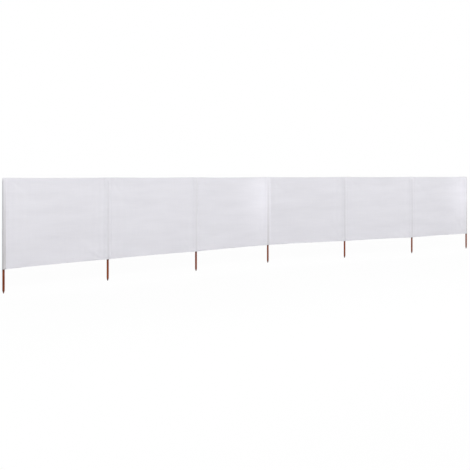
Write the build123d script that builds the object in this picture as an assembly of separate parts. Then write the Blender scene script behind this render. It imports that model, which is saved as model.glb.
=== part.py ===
from build123d import *
import math
import os

# A fabric windbreak: round wooden poles in sewn pockets, with a cloth panel in each bay between them.
# Millimetres, +Z up. X runs from the first pole to the last, and the front faces -Y.
# The origin is on the small flat at the driven end of the middle pole.

# The row: from pole to pole, and its turn in plan at each inner pole, in degrees, to the back positive
bay_length = 1326.0
plan_turns = (-3.7, 1.4, -15.3, 1.4, 5.3)

# Heights: the bare stake below the cloth, and the cloth
stake_length = 250.0
cloth_height = 950.0

# Poles: turned to a blunt point below, chamfered above
pole_diameter = 25.0
point_length = 30.0
point_flat_diameter = 8.0
pole_top_chamfer = 2.0

# Cloth: one layer, what a turned hem adds to it, and how far the hem is turned
cloth_thickness = 1.0
hem_fold_thickness = 1.0
hem_height = 30.0

# Pockets: room round the pole, run from the sleeve's round to its seam, the seam, and the closed top
pocket_clearance = 0.3
pocket_run_out = 30.0
seam_width = 10.0
closing_taper = 30.0
closing_seam = 14.0

# The thin end of the pocket's hollow, as a share of one layer of cloth
hollow_edge_share = 0.25

# Worked out from the sizes above
pole_radius = pole_diameter / 2
sleeve_inner_radius = pole_radius + pocket_clearance
sleeve_outer_radius = sleeve_inner_radius + cloth_thickness
seam_reach = sleeve_outer_radius + pocket_run_out
panel_reach = seam_reach + seam_width
hollow_reach = seam_reach - cloth_thickness
hollow_edge = cloth_thickness * hollow_edge_share
cloth_top = stake_length + cloth_height
taper_top = cloth_top - closing_seam
pole_top = taper_top - closing_taper


def plan_of_row():
    """Pole places and bay headings: the two end poles lie along X, and the middle pole is at the origin."""
    headings = [0.0]
    for turn in plan_turns:
        headings.append(headings[-1] + turn)
    places = [Vector(0, 0, 0)]
    for heading in headings:
        places.append(places[-1] + Vector(bay_length, 0, 0).rotate(Axis.Z, heading))
    chord = places[-1] - places[0]
    chord_heading = math.degrees(math.atan2(chord.Y, chord.X))
    middle = places[len(places) // 2]
    places = [(place - middle).rotate(Axis.Z, -chord_heading) for place in places]
    headings = [heading - chord_heading for heading in headings]
    return places, headings


def turned_pole():
    """Half outline of the pole, revolved: flat tip, pointed end, straight shank, chamfered top."""
    outline = Polyline(
        (0, 0, 0),
        (point_flat_diameter / 2, 0, 0),
        (pole_radius, 0, point_length),
        (pole_radius, 0, pole_top - pole_top_chamfer),
        (pole_radius - pole_top_chamfer, 0, pole_top),
        (0, 0, pole_top),
        close=True,
    )
    return revolve(make_face(outline), Axis.Z)


def tangent_point(corner, radius, side_sign):
    """Where a line from a corner touches the round of a given radius about the pole's axis."""
    swing = math.degrees(math.acos(radius / corner.length))
    return (corner.normalized() * radius).rotate(Axis.Z, side_sign * swing)


def round_between(start, end, radius):
    """Arc about the pole's axis, counter-clockwise from one point to another."""
    start_angle = math.degrees(math.atan2(start.Y, start.X))
    swing = (math.degrees(math.atan2(end.Y, end.X)) - start_angle) % 360
    middle = Vector(radius, 0, 0).rotate(Axis.Z, start_angle + swing / 2)
    return ThreePointArc(start, middle, end)


def seam_corners(seam_headings, reach, half_thickness):
    """The two corners of each seam's edge, right then left as seen from the pole."""
    corners = []
    for heading in seam_headings:
        right = Vector(reach, -half_thickness, 0).rotate(Axis.Z, heading)
        left = Vector(reach, half_thickness, 0).rotate(Axis.Z, heading)
        corners.append((right, left))
    return corners


def taut_section(seam_headings, radius, reach, half_thickness):
    """Plan section of a sleeve drawn tight: straight from each seam to the round of the pole."""
    corners = seam_corners(seam_headings, reach, half_thickness)
    edges = []
    for index, (right, left) in enumerate(corners):
        next_right = corners[(index + 1) % len(corners)][0]
        leaves = tangent_point(left, radius, 1)
        arrives = tangent_point(next_right, radius, -1)
        edges.append(Line(right, left))
        edges.append(Line(left, leaves))
        edges.append(round_between(leaves, arrives, radius))
        edges.append(Line(arrives, next_right))
    return make_face(edges)


def flat_section(seam_headings, radius, reach, half_thickness):
    """The same section sewn flat: the round becomes a straight edge, at the end of the row a folded one."""
    corners = seam_corners(seam_headings, reach, half_thickness)
    knuckle_reach = radius if len(seam_headings) > 1 else -radius
    knuckles = seam_corners(seam_headings, knuckle_reach, half_thickness)
    edges = []
    for index, (right, left) in enumerate(corners):
        following = (index + 1) % len(corners)
        leaves = knuckles[index][1]
        arrives = knuckles[following][0]
        edges.append(Line(right, left))
        edges.append(Line(left, leaves))
        edges.append(Line(leaves, arrives))
        edges.append(Line(arrives, corners[following][0]))
    return make_face(edges)


def seam_strip(heading, layers_thickness, height):
    """The flat seam where the pocket's two layers are sewn to the panel's edge."""
    strip = Box(seam_width, layers_thickness, height, align=(Align.MIN, Align.CENTER, Align.MIN))
    return Rot(0, 0, heading) * Pos(seam_reach, 0, stake_length) * strip


def pole_pocket(seam_headings):
    """Sewn sleeve, open below with a turned hem, closed above by a taper to a flat seam."""
    seam_layers = 2 * cloth_thickness
    hem_layers = seam_layers + 2 * hem_fold_thickness
    hem_radius = sleeve_outer_radius + hem_fold_thickness
    sleeve = taut_section(seam_headings, sleeve_outer_radius, seam_reach, seam_layers / 2)
    mouth_hem = taut_section(seam_headings, hem_radius, seam_reach, hem_layers / 2)
    closed = flat_section(seam_headings, sleeve_outer_radius, seam_reach, seam_layers / 2)
    hollow = taut_section(seam_headings, sleeve_inner_radius, hollow_reach, hollow_edge)
    hollow_end = flat_section(seam_headings, sleeve_inner_radius, hollow_reach, hollow_edge)

    pocket = extrude(Pos(0, 0, stake_length) * sleeve, pole_top - stake_length)
    pocket += loft([Pos(0, 0, pole_top) * sleeve, Pos(0, 0, taper_top) * closed], ruled=True)
    pocket += extrude(Pos(0, 0, taper_top) * closed, closing_seam)
    pocket += extrude(Pos(0, 0, stake_length) * mouth_hem, hem_height)
    for heading in seam_headings:
        pocket += seam_strip(heading, seam_layers, cloth_height)
        pocket += seam_strip(heading, hem_layers, hem_height)
    pocket -= extrude(Pos(0, 0, stake_length) * hollow, pole_top - stake_length)
    pocket -= loft([Pos(0, 0, pole_top) * hollow, Pos(0, 0, taper_top) * hollow_end], ruled=True)
    return pocket


def cloth_panel():
    """One bay of cloth along X from its first pole, with hems turned to the back along its top and foot."""
    front = -cloth_thickness / 2
    back = cloth_thickness / 2
    hem_back = back + hem_fold_thickness
    foot_hem_top = stake_length + hem_height
    top_hem_foot = cloth_top - hem_height
    outline = Polyline(
        (panel_reach, front, stake_length),
        (panel_reach, hem_back, stake_length),
        (panel_reach, hem_back, foot_hem_top),
        (panel_reach, back, foot_hem_top),
        (panel_reach, back, top_hem_foot),
        (panel_reach, hem_back, top_hem_foot),
        (panel_reach, hem_back, cloth_top),
        (panel_reach, front, cloth_top),
        close=True,
    )
    return extrude(make_face(outline), bay_length - 2 * panel_reach, dir=(1, 0, 0))


os.makedirs("parts", exist_ok=True)
pole_places, bay_headings = plan_of_row()

for index, place in enumerate(pole_places):
    seams = []
    if index < len(bay_headings):
        seams.append(bay_headings[index])
    if index > 0:
        seams.append(bay_headings[index - 1] + 180)
    stand = Pos(place)
    export_step(stand * turned_pole(), f"parts/pole_{index + 1}.step")
    export_step(stand * pole_pocket(seams), f"parts/pole_pocket_{index + 1}.step")

for index, heading in enumerate(bay_headings):
    stand = Pos(pole_places[index]) * Rot(0, 0, heading)
    export_step(stand * cloth_panel(), f"parts/cloth_panel_{index + 1}.step")
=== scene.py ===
import bpy
import numpy as np
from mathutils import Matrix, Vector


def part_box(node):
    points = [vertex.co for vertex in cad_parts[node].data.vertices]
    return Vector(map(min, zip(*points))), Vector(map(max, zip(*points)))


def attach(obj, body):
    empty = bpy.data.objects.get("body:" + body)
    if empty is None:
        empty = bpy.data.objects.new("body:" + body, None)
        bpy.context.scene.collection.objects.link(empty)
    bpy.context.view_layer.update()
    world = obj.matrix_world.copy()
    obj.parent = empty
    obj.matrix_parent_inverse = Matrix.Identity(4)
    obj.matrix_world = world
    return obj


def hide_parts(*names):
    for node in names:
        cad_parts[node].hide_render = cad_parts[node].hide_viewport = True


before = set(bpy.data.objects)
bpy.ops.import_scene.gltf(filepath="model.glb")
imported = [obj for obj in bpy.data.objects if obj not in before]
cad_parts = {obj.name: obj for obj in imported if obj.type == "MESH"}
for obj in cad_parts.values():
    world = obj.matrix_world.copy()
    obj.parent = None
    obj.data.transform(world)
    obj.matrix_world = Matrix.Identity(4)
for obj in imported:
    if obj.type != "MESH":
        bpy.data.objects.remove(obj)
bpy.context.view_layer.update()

# A cloth windbreak on wooden poles. Metres, +Z up, X along the row, the front faces -Y.
MM = 0.001
FULL_TURN = 2 * np.pi
RNG = np.random.default_rng(7)

# Sizes read from the frame: poles, cloth heights, bays and where the pockets' seams end
BAYS = sum(name.startswith("cloth_panel_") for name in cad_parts)
POLES = BAYS + 1
pole_low, pole_high = (np.array(corner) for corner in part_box("pole_1"))
panel_low, panel_high = (np.array(corner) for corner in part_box("cloth_panel_1"))
POLE_RADIUS = (pole_high[0] - pole_low[0]) / 2
POLE_TOP = pole_high[2]
POLE_AXES = np.array([np.mean(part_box(f"pole_{i + 1}"), axis=0)[:2] for i in range(POLES)])
CLOTH_LOW = panel_low[2]
CLOTH_TOP = panel_high[2]
CLOTH_HEIGHT = CLOTH_TOP - CLOTH_LOW
PANEL_LENGTH = np.linalg.norm((panel_high - panel_low)[:2])
POLE_TO_POLE = np.diff(POLE_AXES, axis=0)
BAY_LENGTH = np.linalg.norm(POLE_TO_POLE[0])
BAY_RUNS = POLE_TO_POLE / BAY_LENGTH
BAY_FRONTS = np.stack([BAY_RUNS[:, 1], -BAY_RUNS[:, 0]], axis=1)
SEAM_END = (BAY_LENGTH - PANEL_LENGTH) / 2

# Cloth, the hem turned along each edge and its stitch line, the gap between a hem's two layers,
# the pockets' flat seams, and how far a bay's edge is tucked into them
CLOTH_THICK = 0.5 * MM
HEM = 30 * MM
HEM_STITCH = 26 * MM
HEM_GAP = 1.2 * MM
SEAM_WIDTH = 10 * MM
SEAM_START = SEAM_END - SEAM_WIDTH
TUCK = 6 * MM


def smooth_step(t):
    """0 below 0, 1 above 1, and three t squared less two t cubed between."""
    t = np.clip(t, 0, 1)
    return t * t * (3 - 2 * t)


def wave(distance, pitch, phase):
    """A sine wave of a given pitch along a distance."""
    return np.sin(FULL_TURN * distance / pitch + phase)


def grid_faces(rows, columns, wrap=False):
    """Quads between neighbouring rows and columns of a grid; wrap joins the last column to the first."""
    row = np.arange(rows - 1)[:, None]
    column = np.arange(columns if wrap else columns - 1)[None, :]
    here = row * columns + column
    beside = row * columns + (column + 1) % columns
    return np.stack([here, beside, beside + columns, here + columns], axis=-1).reshape(-1, 4)


def grid_uv(across, up):
    """Corner coordinates for grid_faces from one for each column and row; a wrapped grid has one more
    column, where it closes."""
    uv = np.stack(np.broadcast_arrays(across[None, :], up[:, None]), axis=-1)
    return np.stack([uv[:-1, :-1], uv[:-1, 1:], uv[1:, 1:], uv[1:, :-1]], axis=2).reshape(-1, 2)


def add_piece(name, points, faces, material, uv=None, replaces=None):
    """Makes a smooth mesh object of points and faces, which rides on the root body; uv is for the
    corners of the first faces, and the rest stay at zero."""
    mesh = bpy.data.meshes.new(name)
    mesh.from_pydata(points.reshape(-1, 3).tolist(), [], faces)
    corners = np.zeros((len(mesh.loops), 2))
    if uv is not None:
        corners[:len(uv)] = uv
    mesh.uv_layers.new(name="cloth").data.foreach_set("uv", corners.ravel())
    mesh.polygons.foreach_set("use_smooth", np.full(len(mesh.polygons), True))
    mesh.materials.append(material)
    mesh.update()
    piece = bpy.data.objects.new(name, mesh)
    bpy.context.scene.collection.objects.link(piece)
    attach(piece, "root")
    if replaces:
        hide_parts(replaces)
    return piece


def give_thickness(piece):
    """Turns a single surface into cloth with two faces, half the cloth's thickness to each side."""
    wall = piece.modifiers.new("cloth thickness", "SOLIDIFY")
    wall.thickness = CLOTH_THICK
    wall.offset = 0


# Materials

def linear(colour):
    """A six-digit sRGB hex colour as linear red, green, blue and alpha."""
    srgb = np.array([int(colour[i:i + 2], 16) for i in (0, 2, 4)]) / 255
    light = np.where(srgb <= 0.04045, srgb / 12.92, ((srgb + 0.055) / 1.055) ** 2.4)
    return (*light.tolist(), 1)


def add_node(tree, kind, inputs=None, stops=(), **settings):
    """Adds a shader node with its settings and, on a ramp, its colour stops; each input is a value or
    the output that is linked to it."""
    made = tree.nodes.new(f"ShaderNode{kind}")
    for key, value in settings.items():
        setattr(made, key, value)
    for index, (position, colour) in enumerate(stops):
        ramp = made.color_ramp.elements
        stop = ramp[index] if index < len(ramp) else ramp.new(position)
        stop.position = position
        stop.color = linear(colour)
    for key, value in (inputs or {}).items():
        if isinstance(value, bpy.types.NodeSocket):
            tree.links.new(value, made.inputs[key])
        else:
            made.inputs[key].default_value = value
    return made


def new_material(name):
    """A material with an empty node tree, and that tree."""
    material = bpy.data.materials.new(name)
    material.use_nodes = True
    material.node_tree.nodes.clear()
    return material, material.node_tree


def woven_polyester():
    """Plain-weave polyester, bleached off-white with a cool cast. It is matt with a faint sheen at
    grazing angles. The tone drifts in long level streaks. The weave's gaps are painted darker as
    painted shade, and thicker threads, which leave less of it, run as pale streaks both ways. Painted
    shade also marks the pole as a darker band where it lies behind. The threads are 0.6 mm apart, too
    fine to show, so they are drawn four times as coarse."""
    thread_spacing = 4 * 0.6 * MM
    slub_width = 5 * MM
    slub_length = 240 * MM
    drift_length = 650 * MM
    drift_width = 100 * MM
    crumple_size = 40 * MM
    weave_share = 0.5
    relief_low = 0.7
    relief_high = 1.6
    material, tree = new_material("woven polyester")
    place = add_node(tree, "TexCoord")
    drawn_out = add_node(tree, "Mapping", {
        "Vector": place.outputs["Object"],
        "Scale": (1 / drift_length, 1 / drift_length, 1 / drift_width)})
    drift = add_node(tree, "TexNoise", {"Vector": drawn_out.outputs[0], "Scale": 1.0, "Detail": 2.0})
    tone = add_node(tree, "ValToRGB", {"Fac": drift.outputs["Fac"]},
                    stops=((0.27, "E4E3E8"), (0.73, "EAE9EE")))

    threads = add_node(tree, "VectorMath", {0: place.outputs["UV"], 1: (np.pi / thread_spacing,) * 3},
                       operation="MULTIPLY")
    split = add_node(tree, "SeparateXYZ", {0: threads.outputs[0]})
    warp = add_node(tree, "Math", {0: split.outputs["X"]}, operation="SINE")
    weft = add_node(tree, "Math", {0: split.outputs["Y"]}, operation="SINE")
    crossing = add_node(tree, "Math", {0: warp.outputs[0], 1: weft.outputs[0]}, operation="MULTIPLY")
    weave = add_node(tree, "Math", {0: crossing.outputs[0]}, operation="ABSOLUTE")
    slubs = []
    for scale in ((1 / slub_width, 1 / slub_length, 1.0), (1 / slub_length, 1 / slub_width, 1.0)):
        stretched = add_node(tree, "Mapping", {"Vector": place.outputs["UV"], "Scale": scale})
        slub = add_node(tree, "TexNoise", {"Vector": stretched.outputs[0], "Scale": 1.0, "Detail": 2.0})
        slubs.append(slub.outputs["Fac"])
    streaks = add_node(tree, "Math", {0: slubs[0], 1: slubs[1]}, operation="ADD")
    relief = add_node(tree, "Math", {0: weave.outputs[0], 1: weave_share, 2: streaks.outputs[0]},
                      operation="MULTIPLY_ADD")

    # Painted shade: the weave's gaps and the thin places between thicker threads turn darker
    weave_gap_shade = add_node(tree, "MapRange", {
        "Value": relief.outputs[0], "From Min": relief_low, "From Max": relief_high,
        "To Min": 0.22, "To Max": 0.0})
    woven = add_node(tree, "Mix", {
        "Factor": weave_gap_shade.outputs[0], "A": tone.outputs["Color"], "B": linear("CFCED5")}, data_type="RGBA")
    # Painted shade of the pole behind the cloth, mixed into the woven colour
    behind = add_node(tree, "Attribute", attribute_name="painted_pole_shade")
    shown = add_node(tree, "Mix", {
        "Factor": behind.outputs["Fac"], "A": woven.outputs["Result"], "B": linear("B4AFAE")},
        data_type="RGBA")
    rough = add_node(tree, "MapRange", {
        "Value": relief.outputs[0], "From Min": relief_low, "From Max": relief_high,
        "To Min": 0.92, "To Max": 0.8})
    weave_bump = add_node(tree, "Bump", {
        "Height": relief.outputs[0], "Strength": 0.5, "Distance": 0.25 * MM})
    crumple = add_node(tree, "TexNoise", {
        "Vector": place.outputs["Object"], "Scale": 1 / crumple_size, "Detail": 2.0})
    crumple_bump = add_node(tree, "Bump", {
        "Height": crumple.outputs["Fac"], "Strength": 0.4, "Distance": 1.0 * MM,
        "Normal": weave_bump.outputs[0]})
    cloth = add_node(tree, "BsdfPrincipled", {
        "Base Color": shown.outputs["Result"], "Roughness": rough.outputs[0], "IOR": 1.5,
        "Specular IOR Level": 0.25, "Sheen Weight": 0.1, "Sheen Roughness": 0.5,
        "Normal": crumple_bump.outputs[0]})
    add_node(tree, "OutputMaterial", {"Surface": cloth.outputs[0]})
    return material


def sewing_thread():
    """Spun polyester thread, a little greyer than the cloth, with the twist of its plies as slanting
    ridges and painted shade in the grooves between them. The wave texture's diagonal bands lie 0.36
    apart at a scale of 1."""
    ply_pitch = 1.2 * MM
    band_spacing = 0.36
    material, tree = new_material("polyester sewing thread")
    place = add_node(tree, "TexCoord")
    twist = add_node(tree, "TexWave", {
        "Vector": place.outputs["Object"], "Scale": band_spacing / ply_pitch}, bands_direction="DIAGONAL")
    # Painted shade in the twist's grooves: low bands darker, high bands paler
    tone = add_node(tree, "ValToRGB", {"Fac": twist.outputs["Fac"]},
                    stops=((0.0, "CFCED4"), (1.0, "E2E1E6")))
    ridge = add_node(tree, "Bump", {
        "Height": twist.outputs["Fac"], "Strength": 0.3, "Distance": 0.1 * MM})
    thread = add_node(tree, "BsdfPrincipled", {
        "Base Color": tone.outputs["Color"], "Roughness": 0.6, "IOR": 1.5, "Sheen Weight": 0.1,
        "Normal": ridge.outputs[0]})
    add_node(tree, "OutputMaterial", {"Surface": thread.outputs[0]})
    return material


def varnished_softwood():
    """Turned softwood stained a reddish brown under thin varnish: streaks along the grain, darker late
    wood, fine pores, a cut point that darkens towards its tip, painted shade just below the pocket's
    mouth, and a thin satin coat."""
    streak_width = 5 * MM
    streak_length = 260 * MM
    pore_width = 0.9 * MM
    pore_length = 24 * MM
    point_dark_to = 12 * MM
    point_fades_at = 34 * MM
    mouth_shade_starts = CLOTH_LOW - 26 * MM
    mouth_shade_full = CLOTH_LOW - 8 * MM
    material, tree = new_material("varnished softwood")
    place = add_node(tree, "TexCoord")
    along_streaks = add_node(tree, "Mapping", {
        "Vector": place.outputs["Object"],
        "Scale": (1 / streak_width, 1 / streak_width, 1 / streak_length)})
    streaks = add_node(tree, "TexNoise", {
        "Vector": along_streaks.outputs[0], "Scale": 1.0, "Detail": 4.0, "Distortion": 0.4})
    along_pores = add_node(tree, "Mapping", {
        "Vector": place.outputs["Object"],
        "Scale": (1 / pore_width, 1 / pore_width, 1 / pore_length)})
    pores = add_node(tree, "TexNoise", {"Vector": along_pores.outputs[0], "Scale": 1.0, "Detail": 2.0})
    stain = add_node(tree, "ValToRGB", {"Fac": streaks.outputs["Fac"]},
                     stops=((0.3, "60220A"), (0.5, "843814"), (0.72, "9E5226")))
    grained = add_node(tree, "Mix", {
        "Factor": 0.25, "A": stain.outputs["Color"], "B": pores.outputs["Color"]},
        data_type="RGBA", blend_type="SOFT_LIGHT")
    height = add_node(tree, "SeparateXYZ", {0: place.outputs["Object"]})
    # Darker towards the tip of the cut point
    cut_point = add_node(tree, "MapRange", {
        "Value": height.outputs["Z"], "From Min": point_dark_to, "From Max": point_fades_at,
        "To Min": 0.55, "To Max": 0.0})
    stained = add_node(tree, "Mix", {
        "Factor": cut_point.outputs[0], "A": grained.outputs["Result"], "B": linear("3A1206")},
        data_type="RGBA")
    # Painted shade on the wood just below the pocket's mouth
    painted_mouth_shade = add_node(tree, "MapRange", {
        "Value": height.outputs["Z"], "From Min": mouth_shade_starts, "From Max": mouth_shade_full,
        "To Min": 0.0, "To Max": 0.55})
    mouth_shaded = add_node(tree, "Mix", {
        "Factor": painted_mouth_shade.outputs[0], "A": stained.outputs["Result"], "B": linear("2A1810")},
        data_type="RGBA")
    ridge = add_node(tree, "Bump", {
        "Height": pores.outputs["Fac"], "Strength": 0.25, "Distance": 0.15 * MM})
    wood = add_node(tree, "BsdfPrincipled", {
        "Base Color": mouth_shaded.outputs["Result"], "Roughness": 0.55, "IOR": 1.5, "Specular IOR Level": 0.2,
        "Coat Weight": 0.08, "Coat Roughness": 0.3, "Normal": ridge.outputs[0]})
    add_node(tree, "OutputMaterial", {"Surface": wood.outputs[0]})
    return material


CLOTH = woven_polyester()
THREAD = sewing_thread()
WOOD = varnished_softwood()


# Cloth bays

# Columns along a bay, rows up its face and on its hems, steps round a turned edge, and the large forms
BAY_COLUMNS = np.linspace(SEAM_END - TUCK, BAY_LENGTH - SEAM_END + TUCK, 104)
BAY_ROWS = 104
HEM_ROWS = 4
TURN_STEPS = 4
TOP_SAG = 4 * MM
FOOT_LIFT = 3 * MM
BILLOWS = np.array([5, -4, 7, 4, -5, 6]) * MM
BILLOW_AT_EDGES = 0.5

# Folds that fan out from a corner: waves to a radian of the fan with their share, how far they stand off
# the bay's plane, how soon they die away, and where they start
FOLD_WAVES = ((9, 1.0), (15, 0.6))
FOLD_DEPTH = 1.625 * MM
FOLD_REACH = 330 * MM
FOLD_START = 60 * MM

# Flutes beside the seams, and puckers along seams and hems
FLUTE_DEPTH = 1.6 * MM
FLUTE_PITCH = 95 * MM
FLUTE_REACH = 110 * MM
PUCKER_DEPTH = 0.45 * MM
PUCKER_PITCH = 48 * MM
PUCKER_REACH = 28 * MM

# Level creases, which start away from the hems, and the strip that the seams hold flat
CREASE_DEPTH = 1.5 * MM
CREASE_LENGTH = 420 * MM
CREASE_PITCH = 80 * MM
CREASE_START = 90 * MM
CREASE_GRID = (int(CLOTH_HEIGHT / CREASE_PITCH) + 2, int(BAY_LENGTH / CREASE_LENGTH) + 2)
SEAM_HOLD = 60 * MM

FOLD_PHASES = RNG.uniform(0, FULL_TURN, (BAYS, 4, 2))
SEWING_PHASES = RNG.uniform(0, FULL_TURN, (BAYS, 4))
CREASE_KNOTS = RNG.uniform(-1, 1, (BAYS, *CREASE_GRID))


def level_creases(bay, run, height):
    """Long level creases of cloth drawn taut between two poles: random heights on a lattice, far apart
    along the bay and close together up it, with smooth steps from each to the next."""
    along = run / CREASE_LENGTH
    up = np.clip(height - CLOTH_LOW, 0, CLOTH_HEIGHT) / CREASE_PITCH
    column, row = along.astype(int), up.astype(int)
    over, rise = smooth_step(along - column), smooth_step(up - row)
    knots = CREASE_KNOTS[bay]
    lower = knots[row, column] * (1 - over) + knots[row, column + 1] * over
    upper = knots[row + 1, column] * (1 - over) + knots[row + 1, column + 1] * over
    return lower * (1 - rise) + upper * rise


def bay_relief(bay, run, height):
    """How far the cloth stands to the front of its bay's plane: a shallow billow, folds that fan out
    from the four corners and die away with distance, flutes beside the seams, sewing puckers along
    seams and hems, and level creases. Towards the seams it all goes flat."""
    from_start, from_end = run - SEAM_END, BAY_LENGTH - SEAM_END - run
    from_foot, from_top = height - CLOTH_LOW, CLOTH_TOP - height
    share = np.clip(from_start / PANEL_LENGTH, 0, 1)
    rise = np.clip(from_foot / CLOTH_HEIGHT, 0, 1)
    swell = BILLOW_AT_EDGES + (1 - BILLOW_AT_EDGES) * np.sin(np.pi * rise)
    relief = BILLOWS[bay] * np.sin(np.pi * share) ** 2 * swell
    corners = [(side, edge) for side in (from_start, from_end) for edge in (from_foot, from_top)]
    for (side, edge), phases in zip(corners, FOLD_PHASES[bay]):
        reach = np.hypot(side, edge) + MM
        fan = np.arctan2(np.maximum(edge, 0), np.maximum(side, MM))
        folds = sum(part * np.sin(waves * fan + phase)
                    for (waves, part), phase in zip(FOLD_WAVES, phases))
        fade = np.exp(-reach / FOLD_REACH) * (1 - np.exp(-reach / FOLD_START))
        relief = relief + FOLD_DEPTH * folds * fade
    for side, phase in zip((from_start, from_end), SEWING_PHASES[bay, :2]):
        side = np.maximum(side, 0)
        relief = relief + FLUTE_DEPTH * wave(side, FLUTE_PITCH, phase) * np.exp(-side / FLUTE_REACH)
        relief = relief + PUCKER_DEPTH * wave(height, PUCKER_PITCH, phase) * np.exp(-side / PUCKER_REACH)
    for edge, phase in zip((from_foot, from_top), SEWING_PHASES[bay, 2:]):
        edge = np.maximum(edge, 0)
        relief = relief + PUCKER_DEPTH * wave(run, PUCKER_PITCH, phase) * np.exp(-edge / PUCKER_REACH)
    off_hems = smooth_step(from_foot / CREASE_START) * smooth_step(from_top / CREASE_START)
    relief = relief + CREASE_DEPTH * off_hems * level_creases(bay, run, height)
    off_seams = smooth_step(from_start / SEAM_HOLD) * smooth_step(from_end / SEAM_HOLD)
    return relief * off_seams


def bay_points(bay, run, height, proud):
    """Points of a bay's cloth: along the bay by run, up by height, less a sag of its free edges that
    follows a parabola, and to the front by the relief and what the point stands proud."""
    share = np.clip((run - SEAM_END) / PANEL_LENGTH, 0, 1)
    rise = (height - CLOTH_LOW) / CLOTH_HEIGHT
    sag = 4 * share * (1 - share)
    up = height + sag * (FOOT_LIFT * (1 - rise) - TOP_SAG * rise)
    out = bay_relief(bay, run, height) + proud
    x = POLE_AXES[bay, 0] + BAY_RUNS[bay, 0] * run + BAY_FRONTS[bay, 0] * out
    y = POLE_AXES[bay, 1] + BAY_RUNS[bay, 1] * run + BAY_FRONTS[bay, 1] * out
    return np.stack(np.broadcast_arrays(x, y, up), axis=-1)


def hemmed_path():
    """The cut cloth from raw edge to raw edge, as heights, set-backs and lengths of cloth: down the
    back of the foot's hem, round a small half circle, up the face, round another and down the back of
    the top's hem."""
    radius = HEM_GAP / 2
    turn = np.linspace(0, np.pi, TURN_STEPS + 1)[1:-1]
    hem = np.linspace(radius, HEM_STITCH, HEM_ROWS)
    back = np.append(HEM, hem[::-1])
    between = np.linspace(CLOTH_LOW + HEM_STITCH, CLOTH_TOP - HEM_STITCH, BAY_ROWS)[1:-1]
    face = np.concatenate([CLOTH_LOW + hem, between, CLOTH_TOP - hem[::-1]])
    foot_turn = CLOTH_LOW + radius - radius * np.sin(turn)
    top_turn = CLOTH_TOP - radius + radius * np.sin(turn)
    heights = np.concatenate([CLOTH_LOW + back, foot_turn, face, top_turn, CLOTH_TOP - back[::-1]])
    behind = np.full(back.size, HEM_GAP)
    coming_round = radius * (1 + np.cos(turn))
    set_back = np.concatenate([behind, coming_round, np.zeros(face.size), coming_round[::-1], behind])
    steps = np.hypot(np.diff(heights), np.diff(set_back))
    return heights, set_back, np.concatenate([[0], np.cumsum(steps)])


def cloth_bay(bay):
    """One bay of cloth, and its cut size: the hemmed path carried along the bay, from inside one
    pocket's seam to inside the next."""
    run = BAY_COLUMNS
    heights, set_back, cut = hemmed_path()
    points = bay_points(bay, run[None, :], heights[:, None], -set_back[:, None])
    faces = grid_faces(heights.size, run.size).tolist()
    name, node = f"cloth_bay_{bay + 1}", f"cloth_panel_{bay + 1}"
    piece = add_piece(name, points, faces, CLOTH, grid_uv(run, cut), node)
    give_thickness(piece)
    return piece, (run[-1] - run[0], cut[-1])


# Pole pockets

# The sleeve's round, its closed top, the seam's half thickness, and what the hems add to it
SLEEVE_RADIUS = POLE_RADIUS + 1.2 * MM
SLEEVE_TAPER = 44 * MM
CLOSED_ROUND = 1.05
SEAM_HALF = 0.9 * MM
SEAM_HEM_EXTRA = 0.9 * MM
SEAM_HEM_EASE = 8 * MM
MOUTH_HEM = 1.0 * MM
MOUTH_TURN = 0.6 * MM

# Slack between the pole and the seam: share, pitch and slant of its waves
SLACK_DEPTH = 1.0 * MM
SLACK_WAVES = ((1.0, 190 * MM, 0.5), (0.8, 83 * MM, -0.9), (0.5, 47 * MM, 1.2))

# Puckers beside the seam, and pleats where the top draws in
EDGE_PUCKER_DEPTH = 0.3 * MM
EDGE_PUCKER_PITCH = 26 * MM
EDGE_PUCKER_REACH = 9 * MM
PLEAT_DEPTH = 0.6 * MM
PLEAT_PITCH = 12 * MM
PLEATS_TO = SLEEVE_RADIUS + 6 * MM

# Columns on the round, the slope and the seam, rows on the mouth's hem, and rows up the sleeve, which are
# closer together from a little below the closed top
ROUND_COLUMNS = 7
SLOPE_COLUMNS = 8
SEAM_COLUMNS = 3
MOUTH_ROWS = 5
CLOSING_LOW = CLOTH_TOP - SLEEVE_TAPER - 30 * MM
SLEEVE_ROWS = np.concatenate([np.linspace(CLOTH_LOW + MOUTH_TURN, CLOSING_LOW, 132),
                              np.linspace(CLOSING_LOW, CLOTH_TOP, 20)[1:]])

# Painted shade on each pocket where the pole lies behind the cloth, stronger at the ends of the row: how
# strong it is at the foot, how far from the axis it reaches, the share of that which is lost by the top,
# and where it ends: with the pole, but at the ends of the row nearly at the top
PAINTED_SHADE = np.array([0.57, 0.18, 0.18, 0.4, 0.18, 0.18, 0.8])
PAINTED_SHADE_TO = POLE_RADIUS + np.array([11, 0, 0, 8, 0, 0, -3]) * MM
PAINTED_SHADE_FADES = np.array([0.88, 0.5, 0.5, 0.8, 0.5, 0.5, 0.8])
PAINTED_SHADE_ENDS = np.full(POLES, POLE_TOP - 6 * MM)
PAINTED_SHADE_ENDS[[0, -1]] = CLOTH_TOP - 14 * MM
PAINTED_SHADE_EDGE = 8 * MM
PAINTED_SHADE_END_FADE = 12 * MM

SLACK_PHASES = RNG.uniform(0, FULL_TURN, (POLES, 2, 4))


def seam_half(height):
    """Half the seam's thickness: two layers, thicker where the hems lie between them."""
    edge = np.minimum(height - CLOTH_LOW, CLOTH_TOP - height)
    return SEAM_HALF + SEAM_HEM_EXTRA * (1 - smooth_step((edge - HEM) / SEAM_HEM_EASE))


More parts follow.
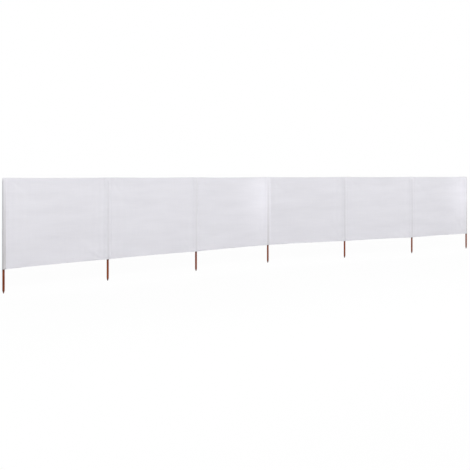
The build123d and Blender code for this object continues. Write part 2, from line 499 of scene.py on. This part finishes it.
def sleeve_half(pole, run, side, height):
    """Half the sleeve's depth at a distance from the pole's axis: the pole's round, then a straight
    tangent down to the seam, with a little slack between them. Over the pole's end the round shrinks to
    the seam's thickness. At the ends of the row the cloth folds back round the pole."""
    seam = seam_half(height)
    closing = smooth_step((height - POLE_TOP) / SLEEVE_TAPER)
    radius = SLEEVE_RADIUS + (seam * CLOSED_ROUND - SLEEVE_RADIUS) * closing
    corner = np.hypot(SEAM_START, seam)
    touch = np.arctan2(seam, SEAM_START) + np.arccos(np.clip(radius / corner, -1, 1))
    touch_run, touch_half = radius * np.cos(touch), radius * np.sin(touch)
    reach = np.abs(run)
    fall = np.clip((reach - touch_run) / (SEAM_START - touch_run), 0, 1)

    phases = SLACK_PHASES[pole, np.where(side > 0, 1, 0)]
    slack = sum(share * wave(height + slant * run, pitch, phases[..., number])
                for number, (share, pitch, slant) in enumerate(SLACK_WAVES))
    slack = SLACK_DEPTH * slack * (1 - closing) * np.sin(np.pi * fall)
    pucker = wave(height, EDGE_PUCKER_PITCH, phases[..., 3])
    pucker = EDGE_PUCKER_DEPTH * pucker * np.exp(-np.abs(reach - SEAM_START) / EDGE_PUCKER_REACH) * fall
    pleat = np.cos(FULL_TURN * run / PLEAT_PITCH) * 4 * closing * (1 - closing)
    pleat = PLEAT_DEPTH * pleat * (reach < PLEATS_TO)

    rounded = np.sqrt(np.maximum(radius ** 2 - reach ** 2, 0))
    tangent = touch_half + (seam - touch_half) * fall + slack + pucker
    half = np.where(reach < touch_run, rounded, tangent) + pleat
    fold = radius * np.sqrt(np.clip(1 - (reach / SLEEVE_RADIUS) ** 2, 0, 1))
    folds_here = ((pole == 0) & (run < 0)) | ((pole == POLES - 1) & (run > 0))
    return np.where(folds_here, fold, half)


def sleeve_points(pole, run, side, height, proud):
    """Points of a pocket's cloth: along the bay on either side of the pole by run, and out from the
    bay's plane, to the front for side 1 and the back for side -1, by half the sleeve's depth and what
    the point stands proud. Close to the pole the two bays' directions blend into one."""
    before, after = max(pole - 1, 0), min(pole, BAYS - 1)
    blend = smooth_step(run / (2 * SLEEVE_RADIUS) + 0.5)
    front = BAY_FRONTS[before] + (BAY_FRONTS[after] - BAY_FRONTS[before]) * blend[..., None]
    front = front / np.linalg.norm(front, axis=-1, keepdims=True)
    along = np.where(run[..., None] < 0, BAY_RUNS[before], BAY_RUNS[after])
    out = side * (sleeve_half(pole, run, np.asarray(side), height) + proud)
    flat = POLE_AXES[pole] + along * run[..., None] + front * out[..., None]
    return np.concatenate([flat, np.broadcast_to(height[..., None], flat.shape[:-1] + (1,))], axis=-1)


def sleeve_columns(pole):
    """Distances from the pole's axis along the bays, from seam end to seam end: close together on the
    round, then down the slope to the seam. At the ends of the row they stop at the fold."""
    on_round = SLEEVE_RADIUS * np.sin(np.linspace(0, np.pi / 2, ROUND_COLUMNS))
    on_slope = np.linspace(SLEEVE_RADIUS, SEAM_START, SLOPE_COLUMNS)[1:]
    on_seam = np.linspace(SEAM_START, SEAM_END, SEAM_COLUMNS)[1:]
    reach = np.concatenate([on_round, on_slope, on_seam])
    left = reach[1:] if pole > 0 else on_round[1:]
    right = reach if pole < POLES - 1 else on_round
    return np.concatenate([-left[::-1], right])


def painted_pole_shade(pole, run, height):
    """How strong the painted shade of the pole is on its pocket: full where the pole lies against the
    cloth, gone a little to each side and where it ends, and fading with height."""
    across = 1 - smooth_step((np.abs(run) - PAINTED_SHADE_TO[pole] + PAINTED_SHADE_EDGE / 2) / PAINTED_SHADE_EDGE)
    under = 1 - smooth_step((height - PAINTED_SHADE_ENDS[pole]) / PAINTED_SHADE_END_FADE)
    fade = 1 - PAINTED_SHADE_FADES[pole] * (height - CLOTH_LOW) / CLOTH_HEIGHT
    return PAINTED_SHADE[pole] * across * under * fade


def pole_pocket(pole):
    """Sleeve round a pole, and its cut size: its plan section, out along the front and home along the
    back, is carried up the pole from a hem turned up outside the mouth to the flat closed top."""
    across = sleeve_columns(pole)
    run = np.concatenate([across, across[::-1]])
    side = np.repeat([1, -1], across.size)
    hem = np.append(HEM, np.linspace(HEM_STITCH, MOUTH_TURN, MOUTH_ROWS))
    height = np.concatenate([CLOTH_LOW + hem, [CLOTH_LOW], SLEEVE_ROWS])
    proud = np.concatenate([np.full(hem.size, MOUTH_HEM), [MOUTH_HEM / 2], np.zeros(SLEEVE_ROWS.size)])
    points = sleeve_points(pole, run, side, height[:, None], proud[:, None])

    sides = grid_faces(height.size, run.size, wrap=True)
    top_row = (height.size - 1) * run.size
    front_top = top_row + np.arange(across.size)
    back_top = top_row + run.size - 1 - np.arange(across.size)
    lid = np.stack([front_top[:-1], front_top[1:], back_top[1:], back_top[:-1]], axis=-1)
    faces = sides.tolist() + lid.tolist()

    cut = np.concatenate([[0], np.cumsum(np.hypot(np.diff(height), np.diff(proud)))])
    ring = points[height.size // 2]
    girth = np.append(0, np.cumsum(np.linalg.norm(np.roll(ring, -1, axis=0) - ring, axis=-1)))
    name, node = f"pocket_sleeve_{pole + 1}", f"pole_pocket_{pole + 1}"
    piece = add_piece(name, points, faces, CLOTH, grid_uv(girth, cut), node)
    # The pocket carries its painted shade of the pole, for the cloth's colour
    shade = piece.data.attributes.new("painted_pole_shade", "FLOAT", "POINT")
    shade.data.foreach_set("value", painted_pole_shade(pole, run[None, :], height[:, None]).ravel())
    give_thickness(piece)
    return piece, (girth[-1], cut[-1])


# Poles

# A turned point with a blunt tip and an eased shoulder, and a chamfered top
POINT_LENGTH = 30 * MM
TIP_RADIUS = 4 * MM
SHOULDER = 5 * MM
TOP_CHAMFER = 2 * MM

# Corners round a pole, and rows up its point and up its shank
POLE_SIDES = 40
POINT_ROWS = np.linspace(0, 50 * MM, 26)
SHANK_ROWS = np.linspace(60 * MM, POLE_TOP - TOP_CHAMFER, 60)

# A slight waver: waves round the pole, with the radians they drift to a metre of height
WAVER = 0.15 * MM
WAVER_DRIFTS = ((2, 9), (3, -14))
WAVER_PHASES = RNG.uniform(0, FULL_TURN, (POLES, 2))


def turned_pole(index):
    """Surface of revolution: the radius is the lesser of a cone from the tip and the level shank, eased
    into each other at the shoulder, less a slow waver that drifts round the pole with height."""
    heights = np.concatenate([POINT_ROWS, SHANK_ROWS, [POLE_TOP]])
    angle = np.linspace(0, FULL_TURN, POLE_SIDES, endpoint=False)
    slope = (POLE_RADIUS - TIP_RADIUS) / POINT_LENGTH
    over = slope * (heights - POINT_LENGTH)
    radius = POLE_RADIUS + (over - np.sqrt(over ** 2 + (slope * SHOULDER) ** 2 / 4)) / 2
    radius[-1] = POLE_RADIUS - TOP_CHAMFER
    drift = sum(np.sin(waves * angle[None, :] + turn * heights[:, None] + phase)
                for (waves, turn), phase in zip(WAVER_DRIFTS, WAVER_PHASES[index]))
    most_drift = len(WAVER_DRIFTS)
    radius = radius[:, None] + WAVER / most_drift * (drift - most_drift)
    x = POLE_AXES[index, 0] + radius * np.cos(angle)
    y = POLE_AXES[index, 1] + radius * np.sin(angle)
    points = np.stack([x, y, np.broadcast_to(heights[:, None], x.shape)], axis=-1)

    ring = np.arange(POLE_SIDES)
    tip = ring[::-1].tolist()
    top = ((heights.size - 1) * POLE_SIDES + ring).tolist()
    faces = grid_faces(heights.size, POLE_SIDES, wrap=True).tolist() + [tip, top]
    girth = np.linspace(0, FULL_TURN * POLE_RADIUS, POLE_SIDES + 1)
    name, node = f"turned_pole_{index + 1}", f"pole_{index + 1}"
    piece = add_piece(name, points, faces, WOOD, grid_uv(girth, heights), node)
    for flat_end in (-1, -2):
        piece.data.polygons[flat_end].use_smooth = False


# Stitching

# The stitches' pitch, the places and sizes of a stitch's three rings and their corners, the lines across a
# pocket's top by how far they are below it, and the lines up a seam as shares of its width
STITCH_PITCH = 7 * MM
STITCH_RINGS = np.array([-2.6, 0.0, 2.6]) * MM
STITCH_RADII = np.array([0.175, 0.5, 0.175]) * MM
STITCH_CORNERS = np.arange(4) * np.pi / 2
CLOSING_STITCHES = (4 * MM, 10 * MM)
SEAM_STITCHES = (0.25, 0.75)


def stitch_row(line, outward):
    """Corner points of a row of stitches: every stitch is a thin spindle of three square rings, set on
    the line at an even pitch, lying along it with half its thread sunk in the cloth."""
    steps = np.linalg.norm(np.diff(line, axis=0), axis=-1)
    walked = np.concatenate([[0], np.cumsum(steps)])
    spots = np.arange(STITCH_PITCH, walked[-1] - STITCH_PITCH / 2, STITCH_PITCH)
    centre, further = (np.stack([np.interp(spot, walked, line[:, axis]) for axis in range(3)], axis=-1)
                       for spot in (spots, spots + MM))
    ahead = further - centre
    ahead = ahead / np.linalg.norm(ahead, axis=-1, keepdims=True)
    normal = outward - ahead * np.sum(outward * ahead, axis=-1, keepdims=True)
    normal = normal / np.linalg.norm(normal, axis=-1, keepdims=True)
    across = np.cross(ahead, normal)
    spoke = (normal[:, None, :] * np.cos(STITCH_CORNERS)[:, None]
             + across[:, None, :] * np.sin(STITCH_CORNERS)[:, None])
    return (centre[:, None, None, :] + ahead[:, None, None, :] * STITCH_RINGS[:, None, None]
            + spoke[:, None, :, :] * STITCH_RADII[:, None, None])


def stitches(name, rows):
    """One piece of thread for all the rows: each spindle's four sides in two lengths, and its ends."""
    points = np.concatenate([stitch_row(line, outward) for line, outward in rows])
    sides = grid_faces(STITCH_RINGS.size, STITCH_CORNERS.size, wrap=True)
    one = np.concatenate([sides, [[3, 2, 1, 0], [8, 9, 10, 11]]])
    corners_each = STITCH_RINGS.size * STITCH_CORNERS.size
    faces = (np.arange(len(points))[:, None, None] * corners_each + one).reshape(-1, 4)
    return add_piece(name, points, faces.tolist(), THREAD)


def hem_stitches(bay):
    """Stitch lines through the top and foot hems of a bay, on both faces, near the hems' raw edge."""
    run = BAY_COLUMNS[(BAY_COLUMNS > SEAM_END) & (BAY_COLUMNS < BAY_LENGTH - SEAM_END)]
    outward = np.append(BAY_FRONTS[bay], 0)
    rows = []
    for height in (CLOTH_LOW + HEM_STITCH, CLOTH_TOP - HEM_STITCH):
        level = np.full(run.size, height)
        rows.append((bay_points(bay, run, level, CLOTH_THICK / 2), outward))
        rows.append((bay_points(bay, run, level, -HEM_GAP - CLOTH_THICK / 2), -outward))
    return stitches(f"hem_stitches_{bay + 1}", rows)


def pocket_stitches(pole):
    """Two stitch lines up each seam of a pocket, two across its closed top and one round its mouth's
    hem, on both faces."""
    rows = []
    seams = [(pole - 1, -1)] * (pole > 0) + [(pole, 1)] * (pole < POLES - 1)
    for bay, way in seams:
        outward = np.append(BAY_FRONTS[bay], 0)
        for inset in SEAM_STITCHES:
            run = np.full(SLEEVE_ROWS.size, way * (SEAM_START + inset * SEAM_WIDTH))
            for side in (1, -1):
                line = sleeve_points(pole, run, side, SLEEVE_ROWS, CLOTH_THICK / 2)
                rows.append((line, side * outward))
    across = sleeve_columns(pole)
    across = across[np.abs(across) <= SEAM_START]
    outward = np.append(BAY_FRONTS[min(pole, BAYS - 1)], 0)
    levels = [(CLOTH_TOP - below, 0) for below in CLOSING_STITCHES]
    levels.append((CLOTH_LOW + HEM_STITCH, MOUTH_HEM))
    for level, proud in levels:
        for side in (1, -1):
            height = np.full(across.size, level)
            line = sleeve_points(pole, across, side, height, proud + CLOTH_THICK / 2)
            rows.append((line, side * outward))
    return stitches(f"pocket_stitches_{pole + 1}", rows)


# The row

for index in range(POLES):
    turned_pole(index)
    sleeve, cut_size = pole_pocket(index)
    seam_threads = pocket_stitches(index)

for index in range(BAYS):
    cloth, cut_size = cloth_bay(index)
    hem_threads = hem_stitches(index)


# Stage, light and camera

# The surround's light, the lamps, and the floor: its size, the share of shadow that shows, and how far
# from the row's middle the shadow starts to fade and is gone
AMBIENT = 0.38
FRONT_WATTS = 446
RIGHT_WATTS = 500
BACK_WATTS = 560
FLOOR_SPAN = 60.0
FLOOR_SHADOW = 0.05
SHADOW_FULL_TO = 5.0
SHADOW_GONE_AT = 9.0

# Lamps before the bright upper corners: how far off and how high they stand, how far back along the bay
# the one for the pocket stands, and for each such bay the watts on its cloth and on the far pocket
CORNER_DISTANCE = 0.9
CORNER_HEIGHT = 0.93
POCKET_LIT_FROM = 0.9
CORNER_LAMPS = ((2, 0.2, 0.32), (5, 0.2, 0.32))


def seen_directly(tree):
    """1 for rays from the camera and for mirror and glass rays, 0 for light that falls on the object."""
    path = add_node(tree, "LightPath")
    mirror = add_node(tree, "Math", {0: path.outputs["Is Camera Ray"], 1: path.outputs["Is Glossy Ray"]},
                      operation="MAXIMUM")
    both = add_node(tree, "Math", {0: mirror.outputs[0], 1: path.outputs["Is Transmission Ray"]},
                    operation="MAXIMUM")
    return both.outputs[0]


def white_floor():
    """A wide floor at the stakes' tips: white to the eye with a faint shadow round the row that fades
    out with distance, a plain pale grey to the light."""
    material, tree = new_material("matt studio floor")
    place = add_node(tree, "TexCoord")
    distance = add_node(tree, "VectorMath", {0: place.outputs["Object"]}, operation="LENGTH")
    shadow = add_node(tree, "MapRange", {
        "Value": distance.outputs["Value"], "From Min": SHADOW_FULL_TO, "From Max": SHADOW_GONE_AT,
        "To Min": FLOOR_SHADOW, "To Max": 0.0})
    white = add_node(tree, "Emission", {"Color": linear("FFFFFF"), "Strength": 1.0})
    shade = add_node(tree, "BsdfDiffuse", {"Color": linear("F4F4F4")})
    shown = add_node(tree, "MixShader", {0: shadow.outputs[0], 1: white.outputs[0], 2: shade.outputs[0]})
    paper = add_node(tree, "BsdfDiffuse", {"Color": linear("BEBEC0")})
    both = add_node(tree, "MixShader", {0: seen_directly(tree), 1: paper.outputs[0], 2: shown.outputs[0]})
    add_node(tree, "OutputMaterial", {"Surface": both.outputs[0]})
    half = FLOOR_SPAN / 2
    corners = [(-half, -half, 0), (half, -half, 0), (half, half, 0), (-half, half, 0)]
    mesh = bpy.data.meshes.new("studio_floor")
    mesh.from_pydata(corners, [], [(0, 1, 2, 3)])
    mesh.materials.append(material)
    floor = bpy.data.objects.new("studio_floor", mesh)
    bpy.context.scene.collection.objects.link(floor)


def white_world():
    """A white surround to the eye, and an even soft light at a plain level to the object."""
    world = bpy.data.worlds.new("white surround")
    bpy.context.scene.world = world
    world.use_nodes = True
    tree = world.node_tree
    tree.nodes.clear()
    level = add_node(tree, "MapRange", {"Value": seen_directly(tree), "To Min": AMBIENT, "To Max": 1.0})
    light = add_node(tree, "Background", {"Color": linear("FFFFFF"), "Strength": level.outputs[0]})
    add_node(tree, "OutputWorld", {"Surface": light.outputs[0]})


def soft_box(name, place, target, size, watts, fan=180.0, tint=(1, 1, 1), lights=None):
    """A rectangular lamp at a place, tipped up from straight down and turned to face a target, its
    light held to a fan of so many degrees and, where a piece is named, to that piece."""
    lamp = bpy.data.lights.new(name, "AREA")
    lamp.shape = "RECTANGLE"
    lamp.size, lamp.size_y = size
    lamp.energy = watts
    lamp.spread = np.radians(fan)
    lamp.color = tint
    holder = bpy.data.objects.new(name, lamp)
    way = np.array(target) - np.array(place)
    tip_up = np.arctan2(np.hypot(way[0], way[1]), -way[2])
    turn_round = np.arctan2(-way[0], way[1])
    holder.location = place
    holder.rotation_euler = (tip_up, 0, turn_round)
    holder.visible_camera = False
    if lights:
        lit = bpy.data.collections.new(f"lit by {name}")
        lit.objects.link(bpy.data.objects[lights])
        holder.light_linking.receiver_collection = lit
    bpy.context.scene.collection.objects.link(holder)


def corner_lamp(piece, bay, watts, back_along):
    """A small lamp before the far upper corner of a bay, set so far back along it. It brightens one
    piece there and leaves the rest alone."""
    corner = POLE_AXES[bay + 1]
    place = corner + BAY_FRONTS[bay] * CORNER_DISTANCE - BAY_RUNS[bay] * back_along
    soft_box(f"corner lamp {piece}", place=(*place, CORNER_HEIGHT), target=(*corner, CORNER_HEIGHT),
             size=(0.2, 0.2), watts=watts, fan=70.0, tint=(0.96, 0.94, 1.0), lights=piece)


def photo_camera():
    """A level camera at eye height, 58 mm on a 36 mm square, its picture shifted down to the row."""
    heading = 37.544
    lens = bpy.data.cameras.new("camera")
    lens.sensor_width = 36.0
    lens.lens = 58.19
    lens.shift_y = -0.1278
    lens.clip_end = 200.0
    camera = bpy.data.objects.new("camera", lens)
    camera.location = (-6.850, -8.159, 1.2295)
    camera.rotation_euler = (np.pi / 2, 0, -np.radians(heading))
    bpy.context.scene.collection.objects.link(camera)
    bpy.context.scene.camera = camera


white_floor()
white_world()
soft_box("front soft box", place=(-0.6, -5.6, 3.6), target=(-0.6, -0.2, 0.7), size=(18.0, 2.4),
         watts=FRONT_WATTS)
soft_box("right soft box", place=(26.0, -24.0, 12.0), target=(0.0, -0.2, 0.6), size=(12.0, 9.0),
         watts=RIGHT_WATTS)
soft_box("back fill", place=(0.0, 6.5, 3.4), target=(0.0, -0.2, 0.7), size=(20.0, 2.5),
         watts=BACK_WATTS)
for bay, cloth_watts, pocket_watts in CORNER_LAMPS:
    corner_lamp(f"cloth_bay_{bay + 1}", bay, cloth_watts, back_along=0.0)
    corner_lamp(f"pocket_sleeve_{bay + 2}", bay, pocket_watts, back_along=POCKET_LIT_FROM)
photo_camera()
bpy.context.scene.view_settings.view_transform = "Standard"
